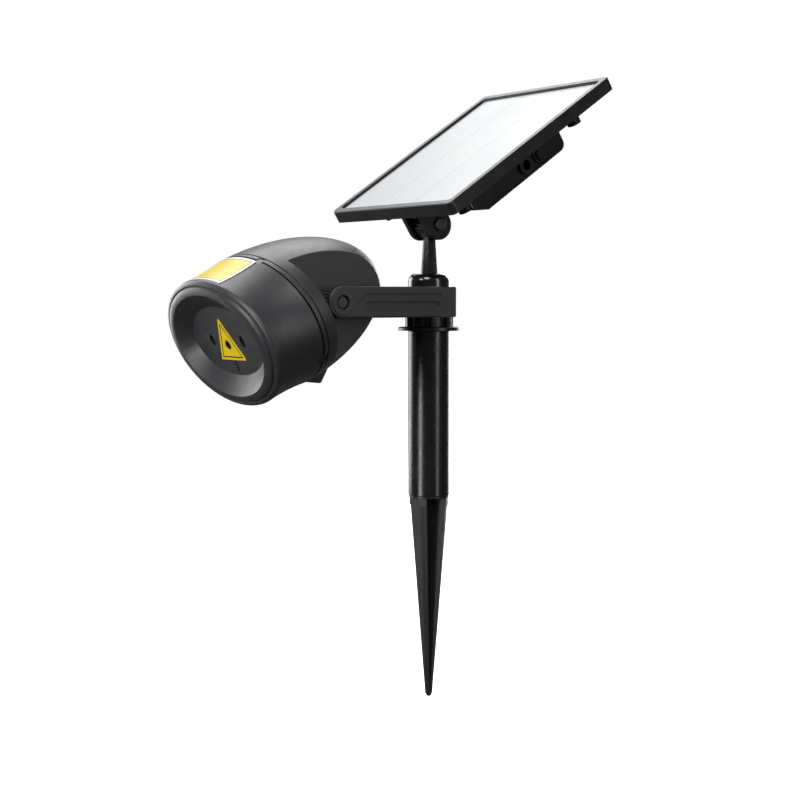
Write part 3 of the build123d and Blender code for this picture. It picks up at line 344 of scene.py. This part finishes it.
# printed film: a little grubby, with the print just raised
printing = dict(ink=(0.012, 0.011, 0.010), grime=(0.25, 0.22, 0.15), grimeNoise=(260.0, 5.0, 0.7),
                grimeSpan=(0.5, 0.8), grimeMost=0.14, gloss=(0.26, 0.44), relief=(0.3, 0.00004))


def finishFilm(tree, shader, colour, height):
    grime = noise(tree, objectCoords(tree), *printing["grimeNoise"])
    grimy = remap(tree, grime, printing["grimeSpan"], (0.0, printing["grimeMost"]))
    paint(tree, shader, mix(tree, grimy, colour, printing["grime"]),
          remap(tree, grime, noiseSpan, printing["gloss"]))
    bump(tree, shader, height, *printing["relief"])


# blank yellow label on the barrel: white edge, thin ink line, and a yellow field with a painted highlight
# that pales it towards the far side
def topFilm():
    film = dict(near=(0.66, 0.45, 0.004), far=(0.62, 0.50, 0.07), edge=(0.74, 0.74, 0.73),
                highlightFade=(-0.012, 0.012), rear=0.031, front=0.0602, angle=22.0, radius=0.0445,
                edgeWidth=0.0016, lineWidth=0.0007)
    material, tree, shader = newMaterial("topFilm")
    station, across, up = headCoords(tree)
    angle = calculate(tree, "ARCTAN2", calculate(tree, "DIVIDE", across, head["widening"]), up)
    angleLeft = calculate(tree, "SUBTRACT", math.radians(film["angle"]),
                          calculate(tree, "ABSOLUTE", angle))
    sideGap = calculate(tree, "MULTIPLY", angleLeft, film["radius"] * head["widening"])
    rearGap = calculate(tree, "SUBTRACT", station, film["rear"])
    frontGap = calculate(tree, "SUBTRACT", film["front"], station)
    gap = calculate(tree, "MINIMUM", sideGap, calculate(tree, "MINIMUM", rearGap, frontGap))
    pastEdge = softStep(tree, gap, film["edgeWidth"])
    pastLine = softStep(tree, gap, film["edgeWidth"] + film["lineWidth"])
    # painted highlight: the yellow pales from the near side to the far side across the label
    highlightedYellow = mix(tree, remap(tree, across, film["highlightFade"]), film["near"], film["far"])
    colour = mix(tree, pastEdge, film["edge"], mix(tree, pastLine, printing["ink"], highlightedYellow))
    finishFilm(tree, shader, colour, pastEdge)
    return material


# blank triangle on the disc: yellow with a thin ink line inside its edge
def triangleFilm():
    film = dict(yellow=(0.86, 0.62, 0.006), apertureUp=-0.0024, apex=0.0190, base=-0.0108,
                halfWidth=0.0156, lineInset=0.0021, lineWidth=0.00045,
                rimRadius=0.0031, rimSoftness=0.0003)
    material, tree, shader = newMaterial("triangleFilm")
    across, up = headCoords(tree)[1:]
    rise = calculate(tree, "SUBTRACT", up, film["apertureUp"] + film["base"])
    height = film["apex"] - film["base"]
    slant = math.hypot(height, film["halfWidth"])
    gap = rise
    for side in (-1, 1):
        outwards = calculate(tree, "MULTIPLY", across, side)
        fromCorner = calculate(tree, "SUBTRACT", film["halfWidth"], outwards)
        level = calculate(tree, "MULTIPLY", fromCorner, height / slant)
        drop = calculate(tree, "MULTIPLY", rise, film["halfWidth"] / slant)
        gap = calculate(tree, "MINIMUM", gap, calculate(tree, "SUBTRACT", level, drop))
    offLine = calculate(tree, "ABSOLUTE", calculate(tree, "SUBTRACT", gap, film["lineInset"]))
    clearOfLine = softStep(tree, offLine, film["lineWidth"])
    aboveCentre = calculate(tree, "SUBTRACT", up, film["apertureUp"])
    squares = [calculate(tree, "MULTIPLY", value, value) for value in (across, aboveCentre)]
    fromCentre = calculate(tree, "SQRT", calculate(tree, "ADD", *squares))
    rimEdge = (film["rimRadius"], film["rimRadius"] + film["rimSoftness"])
    clearOfRim = remap(tree, fromCentre, rimEdge)
    plain = calculate(tree, "MULTIPLY", clearOfLine, clearOfRim)
    finishFilm(tree, shader, mix(tree, plain, printing["ink"], film["yellow"]), clearOfLine)
    return material


finishes.update(
    circuit_green=circuitBoard(),
    cell_silicon=cellSilicon(),
    panel_glass=panelGlass(),
    lens_glass=mouldedLens("lensGlass", (0.85, 0.9, 0.88), 0.04),
    smoked_window=mouldedLens("smokedWindow", (0.006, 0.006, 0.007), 0.10),
)
films = dict(top_label=topFilm(), triangle_label=triangleFilm())
for part in record["subparts"]:
    name = part["node"]
    materials = nodes[name].data.materials
    materials.clear()
    materials.append(films[name] if name in films else finishes[part["material_slot"]])
print("every node has its finish")

# studio: white backdrop, a pale floor, and soft lights all round
studio = dict(backdrop=1.0, ambient=0.10, floorSize=8.0, floorTone=0.9, floorGlow=0.93,
              floorGrain=60.0, floorGloss=(0.75, 0.9))
lights = dict(
    overhead=dict(place=(0.15, 0.85, 1.25), target=(0.0, 0.0, 0.12), size=(1.3, 0.9), power=15),
    key=dict(place=(-0.95, -0.75, 1.30), target=(-0.05, 0, 0.10), size=(0.7, 0.7), power=15),
    side=dict(place=(0.30, -1.5, 0.35), target=(0, 0, 0.06), size=(0.22, 1.5), power=6),
    front=dict(place=(-1.5, -0.12, 0.3), target=(-0.05, 0, 0.08), size=(0.34, 1.5), power=20),
    rear=dict(place=(1.3, 0.75, 0.35), target=(0, 0, 0.06), size=(1.0, 1.2), power=20),
    far=dict(place=(-0.35, 1.5, 0.30), target=(-0.05, 0, 0.08), size=(1.0, 1.0), power=14),
)


def layFloor():
    shape = bmesh.new()
    bmesh.ops.create_grid(shape, x_segments=1, y_segments=1, size=studio["floorSize"])
    bmesh.ops.translate(shape, verts=shape.verts, vec=(0, 0, cadBounds[0][2]))
    mesh = bpy.data.meshes.new("studioFloor")
    shape.to_mesh(mesh)
    shape.free()
    floor = bpy.data.objects.new("studioFloor", mesh)
    bpy.context.scene.collection.objects.link(floor)
    material, tree, shader = newMaterial("floorPaint")
    shader.inputs["Base Color"].default_value = (studio["floorTone"],) * 3 + (1,)
    shader.inputs["Specular IOR Level"].default_value = 0.0
    shader.inputs["Emission Color"].default_value = (1, 1, 1, 1)
    shader.inputs["Emission Strength"].default_value = studio["floorGlow"]
    grain = noise(tree, objectCoords(tree), studio["floorGrain"])
    tree.links.new(remap(tree, grain, noiseSpan, studio["floorGloss"]), shader.inputs["Roughness"])
    mesh.materials.append(material)
    floor.visible_glossy = False
    floor.visible_diffuse = False


# the world is bright where it is seen and dim where it lights the object
def hangBackdrop():
    world = bpy.data.worlds.new("studioWorld")
    bpy.context.scene.world = world
    world.use_nodes = True
    tree = world.node_tree
    background = tree.nodes["Background"]
    background.inputs["Color"].default_value = (1, 1, 1, 1)
    paths = tree.nodes.new("ShaderNodeLightPath")
    strength = remap(tree, paths.outputs["Is Camera Ray"], (0, 1),
                     (studio["ambient"], studio["backdrop"]))
    tree.links.new(strength, background.inputs["Strength"])
    bpy.context.scene.view_settings.view_transform = "Standard"


def softLight(name, place, target, size, power):
    light = bpy.data.lights.new(name, "AREA")
    light.shape = "RECTANGLE"
    light.size, light.size_y = size
    light.energy = power
    lamp = bpy.data.objects.new(name, light)
    lamp.location = place
    lamp.rotation_euler = (Vector(target) - Vector(place)).to_track_quat("-Z", "Y").to_euler()
    lamp.visible_camera = False
    bpy.context.scene.collection.objects.link(lamp)


# camera: low, three quarters from the front, looking slightly down
def setCamera():
    shot = dict(azimuth=-36.0, pitch=3.8, lens=70.4, sensor=36, distance=1.0937, aimHeight=0.0664,
                sideStep=0.02027)
    turn = math.radians(shot["azimuth"])
    dip = math.radians(shot["pitch"])
    backward = Vector((math.sin(turn) * math.cos(dip), -math.cos(turn) * math.cos(dip), math.sin(dip)))
    rightward = Vector((math.cos(turn), math.sin(turn), 0))
    data = bpy.data.cameras.new("studioCamera")
    data.lens = shot["lens"]
    data.sensor_width = shot["sensor"]
    camera = bpy.data.objects.new("studioCamera", data)
    aim = Vector((0, 0, shot["aimHeight"]))
    camera.location = aim + backward * shot["distance"] - rightward * shot["sideStep"]
    camera.rotation_euler = (-backward).to_track_quat("-Z", "Y").to_euler()
    bpy.context.scene.collection.objects.link(camera)
    bpy.context.scene.camera = camera


layFloor()
hangBackdrop()
for name, values in lights.items():
    softLight(name + "Light", **values)
setCamera()
print("studio and camera ready")
